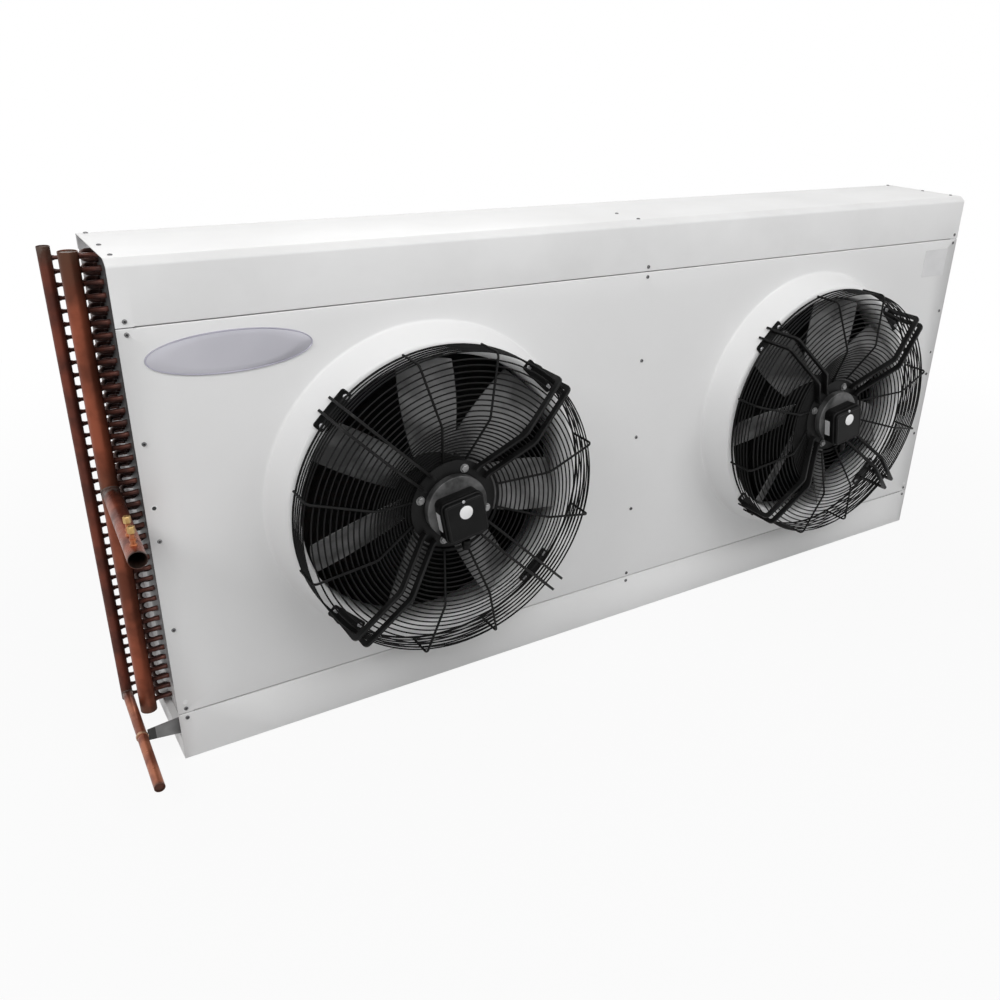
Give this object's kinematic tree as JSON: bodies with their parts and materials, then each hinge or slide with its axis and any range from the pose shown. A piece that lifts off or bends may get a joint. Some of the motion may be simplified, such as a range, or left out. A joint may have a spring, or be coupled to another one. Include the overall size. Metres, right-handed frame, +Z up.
{
  "type": "refrigeration condenser",
  "caption": "Air-cooled refrigeration condenser: upright finned coil in a sheet cabinet, copper headers at one end and guarded axial fans on the front.",
  "frame": {"origin": "centre of the cabinet's base, midway between its four base holes, at floor level", "axes": "+Z up, -Y out of the fan side, +X along the cabinet away from the headers"},
  "size_m": [2.5055, 0.4955, 1.0862],
  "materials": {
    "painted_sheet": "satin",
    "galvanised_sheet": "satin",
    "fin_aluminium": "satin",
    "copper": "satin",
    "brass_parts": "satin",
    "black_rubber": "matte",
    "badge_enamel": "gloss",
    "label_sheet": "satin",
    "zinc_screws": "satin",
    "black_steel": "satin",
    "motor_casting": "satin",
    "shaft_steel": "satin",
    "blade_steel": "satin",
    "black_plastic": "satin"
  },
  "bodies": {
    "cabinet": {"top_hood": "painted_sheet", "fan_panel": "painted_sheet", "bottom_panel": "painted_sheet", "centre_partition": "galvanised_sheet", "left_tube_plate": "galvanised_sheet", "right_tube_plate": "galvanised_sheet", "fin_block": "fin_aluminium", "left_return_bends": "copper", "right_hairpin_bends": "copper", "gas_stub_tubes": "copper", "liquid_stub_tubes": "copper", "gas_header": "copper", "gas_header_caps": "copper", "liquid_header": "copper", "liquid_header_caps": "copper", "gas_inlet_pipe": "copper", "liquid_outlet_pipe": "copper", "access_valves": "copper", "access_valve_caps": "brass_parts", "pipe_bracket": "galvanised_sheet", "bracket_rubber": "black_rubber", "pipe_clip": "brass_parts", "badge_plate": "badge_enamel", "rating_plate": "label_sheet", "front_screws": "zinc_screws", "top_screws": "zinc_screws", "left_fan_guard": "black_steel", "left_mounting_arms": "black_steel", "left_bracket_plates": "black_steel", "left_bracket_screws": "zinc_screws", "left_hub_plate": "black_steel", "left_hub_bolts": "zinc_screws", "left_stator": "motor_casting", "left_bearings": "zinc_screws", "left_terminal_box": "black_plastic", "left_terminal_lid": "black_plastic", "left_lid_sticker": "label_sheet", "left_cable_gland": "black_plastic", "right_fan_guard": "black_steel", "right_mounting_arms": "black_steel", "right_bracket_plates": "black_steel", "right_bracket_screws": "zinc_screws", "right_hub_plate": "black_steel", "right_hub_bolts": "zinc_screws", "right_stator": "motor_casting", "right_bearings": "zinc_screws", "right_terminal_box": "black_plastic", "right_terminal_lid": "black_plastic", "right_lid_sticker": "label_sheet", "right_cable_gland": "black_plastic"},
    "left_rotor": {"left_shaft": "shaft_steel", "left_rotor_can": "motor_casting", "left_fan_blades": "blade_steel"},
    "right_rotor": {"right_shaft": "shaft_steel", "right_rotor_can": "motor_casting", "right_fan_blades": "blade_steel"}
  },
  "joints": [
    {"name": "left_fan_spin", "type": "hinge", "parent": "cabinet", "child": "left_rotor", "pos_m": [-0.6, -0.202, 0.534], "axis": [0, 1, 0], "continuous": true},
    {"name": "right_fan_spin", "type": "hinge", "parent": "cabinet", "child": "right_rotor", "pos_m": [0.6, -0.202, 0.534], "axis": [0, 1, 0], "continuous": true}
  ]
}
